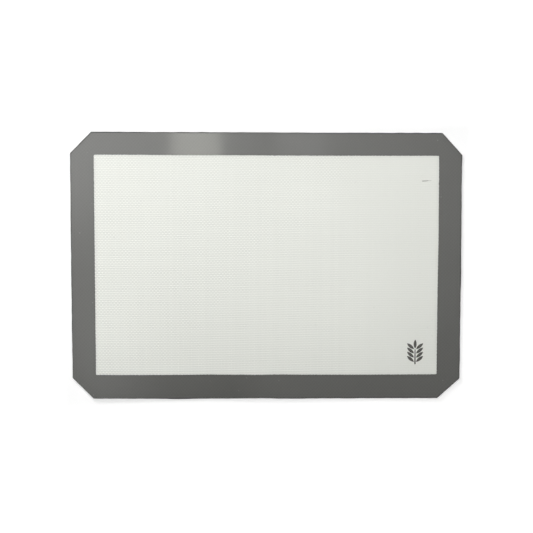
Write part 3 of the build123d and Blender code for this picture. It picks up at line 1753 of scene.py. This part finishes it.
@dataclass
class WheatEar:
    """The printed ornament in the near right corner of the field: an ear of wheat."""

    shape: MatShape
    name: str = "printed_ear_of_wheat"
    node: str = "corner_ornament"
    slot: str = "dark_ink"
    stem_gap_right: float = 23.6 * MM
    foot_gap_near: float = 11.0 * MM
    height: float = 27.0 * MM
    grain_length: float = 10.0 * MM
    grain_width: float = 3.3 * MM
    grain_pitch: float = 4.6 * MM
    grain_gap: float = 0.6 * MM
    grain_pairs: int = 4
    grain_angle: float = 50.0
    stem_width: float = 1.0 * MM
    stem_foot_width: float = 1.6 * MM
    film: float = 0.045 * MM
    sag_share: float = 0.6
    grain_faces: tuple[int, int] = (8, 22)
    stem_faces: tuple[int, int] = (3, 40)
    merged_within: float = 0.01 * MM

    def build(self, finish: bpy.types.Material) -> bpy.types.Object:
        """Model one grain and the stem, copy the grain, and print them on the weave.

        Args:
            finish: The material that it wears.

        Returns:
            The finished piece.
        """
        stem_x = self.shape.plan.field_high[0] - self.stem_gap_right
        foot_y = self.shape.plan.field_low[1] + self.foot_gap_near
        tip_y = foot_y + self.height
        stem_top = tip_y - self.grain_length - self.grain_gap
        grain = self._grain()
        parts = [self._copied(grain, stem_x, tip_y - self.grain_length, 0.0)]
        for pair in range(self.grain_pairs):
            y = stem_top - pair * self.grain_pitch
            for side in (-1, 1):
                x = stem_x + side * (self.stem_width / 2 + self.grain_gap)
                parts.append(self._copied(grain, x, y, -side * self.grain_angle))
        bpy.data.objects.remove(grain)
        parts.append(self._stem(stem_x, foot_y, stem_top))
        deselect_all()
        for part in parts:
            part.select_set(True)
        bpy.context.view_layer.objects.active = parts[0]
        bpy.ops.object.join()
        piece = new_piece(self.name)
        self._print(piece)
        hand_over(piece, self.node, finish)
        return piece

    def _grain(self) -> bpy.types.Object:
        """Model one grain, flat, with its foot at the origin: two arcs that meet in points.

        Returns:
            The grain.
        """
        piece = unit_grid("grain", *self.grain_faces)
        points = points_of(piece)
        half_length, half_width = self.grain_length / 2, self.grain_width / 2
        radius = (half_length**2 + half_width**2) / (2 * half_width)
        from_middle = points[:, 1] * self.grain_length
        bow = np.sqrt(radius**2 - from_middle**2) - (radius - half_width)
        points[:, 0] *= 2 * bow.clip(0, None)
        points[:, 1] = from_middle + half_length
        place_points(piece, points)
        with editing(piece):
            bpy.ops.mesh.remove_doubles(threshold=self.merged_within)
        return piece

    @staticmethod
    def _copied(grain: bpy.types.Object, x: float, y: float, turn: float) -> bpy.types.Object:
        """Copy the grain, with a mesh of its own.

        Args:
            grain: The grain at the origin.
            x: Where the copy's foot goes along X.
            y: Where it goes along Y.
            turn: How far the copy is turned anticlockwise, in degrees.

        Returns:
            The copy.
        """
        copy = grain.copy()
        copy.data = grain.data.copy()
        bpy.context.scene.collection.objects.link(copy)
        turned = Matrix.Rotation(math.radians(turn), 4, "Z")
        copy.data.transform(Matrix.Translation((x, y, 0)) @ turned)
        return copy

    def _stem(self, x: float, foot: float, top: float) -> bpy.types.Object:
        """Model the stem, which widens towards its foot.

        Args:
            x: Where it stands along X.
            foot: Where its foot is along Y.
            top: Where its top is along Y.

        Returns:
            The stem.
        """
        piece = unit_grid("stem", *self.stem_faces)
        points = points_of(piece)
        down = 0.5 - points[:, 1]
        points[:, 0] = x + points[:, 0] * (
            self.stem_width + (self.stem_foot_width - self.stem_width) * down
        )
        points[:, 1] = top - (top - foot) * down
        place_points(piece, points)
        return piece

    def _print(self, piece: bpy.types.Object) -> None:
        """Lay the flat shapes on the weave, and give the ink its thickness.

        Args:
            piece: The joined grains and stem.
        """
        points = points_of(piece)
        counts = self.shape.yarns.count_at(points[:, :2])
        points[:, 2] = self.shape.layers.skins_top - self.shape.dip(counts) * self.sag_share
        points[:, 2] += self.film + self.shape.form.lift(points[:, :2])
        place_points(piece, points)
        solid = piece.modifiers.new("ink film", "SOLIDIFY")
        solid.thickness = self.film + self.shape.layers.relief
        solid.offset = -1.0
        make_active(piece)
        bpy.ops.object.modifier_apply(modifier=solid.name)
        self.shape.yarns.write_counts(piece)
        lay_flat_map(piece, Face.UP)
        smooth(piece)


def build_mat(shape: MatShape) -> None:
    """Build and dress every sub-assembly of the mat.

    Args:
        shape: The plan, yarns, layers and form that they share.
    """
    layers = shape.layers
    heights = (0.0, layers.cloth_bottom, layers.cloth_top, layers.skins_top)
    sheets = (
        ("lower_skin", "lower_silicone_skin", "clear_silicone", Face.DOWN),
        ("glass_cloth", "woven_glass_cloth", "glass_cloth", Face.UP),
        ("upper_skin", "upper_silicone_skin", "clear_silicone", Face.UP),
    )
    makers = [
        WovenSheet(shape, name, node, slot, bottom, top, face)
        for (name, node, slot, face), bottom, top in zip(sheets, heights, heights[1:])
    ]
    makers += [EdgeSeal(shape), BorderPrint(shape), WheatEar(shape)]
    finishes = make_finishes(shape.plan)
    lower, cloth, upper, seal, border, ear = [maker.build(finishes[maker.name]) for maker in makers]


# The studio


@dataclass
class Camera:
    """The photograph's camera: nearly straight down, at a short portrait lens."""

    place: tuple[float, float, float] = (-0.01970, 0.05405, 0.9544)
    forward: tuple[float, float, float] = (0.0202, -0.0566, -0.9982)
    right: tuple[float, float, float] = (0.9998, 0.00138, 0.02018)
    lens: float = 60.0
    sensor: float = 36.0

    def build(self) -> None:
        """Make the camera and look through it."""
        data = bpy.data.cameras.new("camera")
        data.lens = self.lens
        data.sensor_width = self.sensor
        camera = bpy.data.objects.new("camera", data)
        bpy.context.scene.collection.objects.link(camera)
        forward = Vector(self.forward).normalized()
        right = Vector(self.right)
        right = (right - right.dot(forward) * forward).normalized()
        turned = Matrix((right, right.cross(forward), -forward)).transposed().to_4x4()
        camera.matrix_world = Matrix.Translation(self.place) @ turned
        bpy.context.scene.camera = camera


@dataclass(frozen=True)
class AreaLamp:
    """One soft lamp."""

    name: str
    place: tuple[float, float, float]
    aim: tuple[float, float, float]
    width: float
    height: float
    power: float
    mirrored: bool = False
    colour: tuple[float, float, float] = (1.0, 1.0, 1.0)

    def build(self) -> None:
        """Hang the lamp and aim it."""
        data = bpy.data.lights.new(self.name, "AREA")
        data.shape = "RECTANGLE"
        data.size = self.width
        data.size_y = self.height
        data.energy = self.power
        data.color = self.colour
        lamp = bpy.data.objects.new(self.name, data)
        bpy.context.scene.collection.objects.link(lamp)
        way = Vector(self.aim) - Vector(self.place)
        turned = way.to_track_quat("-Z", "Y").to_matrix().to_4x4()
        lamp.matrix_world = Matrix.Translation(self.place) @ turned
        lamp.visible_glossy = self.mirrored
        lamp.visible_camera = False


@dataclass(frozen=True)
class Glow:
    """A bright part of the room overhead, which the border mirrors, or a dim one.

    Its place and reach are those of its patch on a level plane one unit above the mat, and
    a negative strength dims the patch.
    """

    x: float
    y: float
    reach_x: float
    reach_y: float
    strength: float

    def seen(self, graph: Graph, place: tuple[Socket, Socket]) -> Socket:
        """Work out how much of the glow there is.

        Args:
            graph: The room's graph.
            place: The place on that plane.

        Returns:
            The share of the glow there.
        """
        spread = []
        for at, centre, reach in zip(place, (self.x, self.y), (self.reach_x, self.reach_y)):
            off = graph.math("DIVIDE", graph.math("SUBTRACT", at, centre), reach)
            spread.append(graph.product(off, off))
        return graph.math("EXPONENT", graph.product(graph.math("ADD", *spread), -1.0))


@dataclass
class Studio:
    """The floor, the room light and the lamps."""

    plan: MatPlan
    floor_size: float = 14.0
    floor_colour: Colour = (0.86, 0.86, 0.86, 1.0)
    floor_grain: float = 0.04
    floor_grain_scale: float = 3.0
    floor_roughness: float = 0.9
    floor_shine: float = 0.1
    floor_lift: float = 0.16
    floor_lift_slope: tuple[float, float, float] = (0.30, -0.67, 0.0)
    shadow_reach: tuple[float, float] = (4 * MM, 50 * MM)
    mirrored_base: float = 0.75
    lit_base: float = 0.08
    lowest_up: float = 0.02
    white_below: tuple[float, float] = (0.25, 0.55)
    glows: tuple[Glow, ...] = (
        Glow(-0.397, 0.118, 0.530, 0.182, 3.56),
        Glow(-0.160, -0.150, 0.067, 0.082, 0.85),
        Glow(-0.046, -0.190, 0.038, 0.050, -0.42),
        Glow(0.021, 0.081, 0.014, 0.050, -0.40),
        Glow(0.230, -0.110, 0.040, 0.060, 0.22),
    )
    lamps: tuple[AreaLamp, ...] = (
        AreaLamp("far_left_lamp", (-1.01, 1.043, 0.60), (0, 0, 0), 0.34, 0.34, 4.3),
        AreaLamp("low_lamp", (-0.66, 0.98, 0.40), (0, 0, 0), 0.16, 0.16, 9.2),
        AreaLamp("long_lamp", (-0.124, 0.0736, 0.451), (-0.124, 0.0736, 0), 1.30, 0.12, 1.92),
        AreaLamp(
            "glare_strip", (-0.1589, 0.50, 1.5), (-0.1589, 0.50, 0), 0.1222, 0.80, 1.00,
            mirrored=True, colour=(1.0, 1.0, 0.9),
        ),
        AreaLamp("faint_strip", (0.123, 0.50, 1.5), (0.123, 0.50, 0), 0.139, 0.80, 0.20, mirrored=True),
    )

    def build(self) -> None:
        """Set up everything round the mat."""
        self._floor()
        self._room()
        for lamp in self.lamps:
            lamp.build()
        bpy.context.scene.view_settings.view_transform = "Standard"

    @staticmethod
    def _seen_directly(graph: Graph) -> Socket:
        """Tell the rays that show the background from those that light the mat.

        Args:
            graph: The graph of the floor or the room.

        Returns:
            1 for rays from the camera, a mirror or glass, and 0 for others.
        """
        path = graph.add("ShaderNodeLightPath").outputs
        seen = graph.math("ADD", path["Is Camera Ray"], path["Is Glossy Ray"])
        return graph.math("ADD", seen, path["Is Transmission Ray"], clamp=True)

    def _floor(self) -> None:
        """Lay a white floor that keeps the mat's shadow and otherwise reads as white."""
        deselect_all()
        bpy.ops.mesh.primitive_plane_add(size=self.floor_size, location=(0, 0, 0))
        floor = new_piece("floor")
        material = bpy.data.materials.new("white floor")
        material.use_nodes = True
        graph = Graph(material.node_tree)
        inputs = material.node_tree.nodes["Principled BSDF"].inputs
        inputs["Roughness"].default_value = self.floor_roughness
        inputs["Specular IOR Level"].default_value = self.floor_shine
        inputs["Emission Color"].default_value = (1, 1, 1, 1)
        place = graph.add("ShaderNodeTexCoord").outputs["Object"]
        grain = graph.noise(place, self.floor_grain_scale, detail=2.0)
        tone = graph.total(1.0 - self.floor_grain / 2, (grain, self.floor_grain))
        graph.feed(inputs["Base Color"], graph.shaded(self.floor_colour, tone))
        slope = graph.vector("DOT_PRODUCT", place, self.floor_lift_slope)["Value"]
        beside = graph.math("MAXIMUM", graph.total(self.floor_lift, (slope, 1.0)), 0.0)
        x, y, _ = graph.axes(place)
        past_x = graph.math("SUBTRACT", graph.math("ABSOLUTE", x), self.plan.width / 2)
        past_y = graph.math("SUBTRACT", graph.math("ABSOLUTE", y), self.plan.depth / 2)
        far_off = graph.ramp(graph.math("MAXIMUM", past_x, past_y), *self.shadow_reach)
        lift = graph.total(beside, (far_off, 1.0), (graph.product(beside, far_off), -1.0))
        graph.feed(inputs["Emission Strength"], graph.product(self._seen_directly(graph), lift))
        floor.data.materials.append(material)
        floor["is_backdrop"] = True

    def _room(self) -> None:
        """Light the room: dim all round, with the glow overhead, and white where it is seen."""
        world = bpy.data.worlds.new("room")
        bpy.context.scene.world = world
        world.use_nodes = True
        graph = Graph(world.node_tree)
        background = world.node_tree.nodes["Background"].inputs
        x, y, z = graph.axes(graph.add("ShaderNodeTexCoord").outputs["Generated"])
        up = graph.math("MAXIMUM", z, self.lowest_up)
        place = (graph.math("DIVIDE", x, up), graph.math("DIVIDE", y, up))
        seen = self._seen_directly(graph)
        overhead = graph.total(
            self.lit_base,
            (seen, self.mirrored_base - self.lit_base),
            *((glow.seen(graph, place), glow.strength) for glow in self.glows),
        )
        low_down = graph.product(seen, graph.rest(graph.ramp(z, *self.white_below)))
        whitened = graph.product(low_down, graph.rest(overhead))
        graph.feed(background["Strength"], graph.math("ADD", overhead, whitened))
        background["Color"].default_value = (1.0, 1.0, 1.0, 1.0)


def main() -> None:
    """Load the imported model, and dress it."""
    logging.basicConfig(level=logging.INFO, format="%(name)s: %(message)s")
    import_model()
    solid_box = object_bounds()
    Camera().build()
    plan = MatPlan(
        width=solid_box[1][0] - solid_box[0][0],
        depth=solid_box[1][1] - solid_box[0][1],
    )
    shape = MatShape(plan, YarnGrid(plan), LyingForm(plan), Layers.from_frame())
    build_mat(shape)
    Studio(plan).build()


if __name__ == "__main__":
    main()
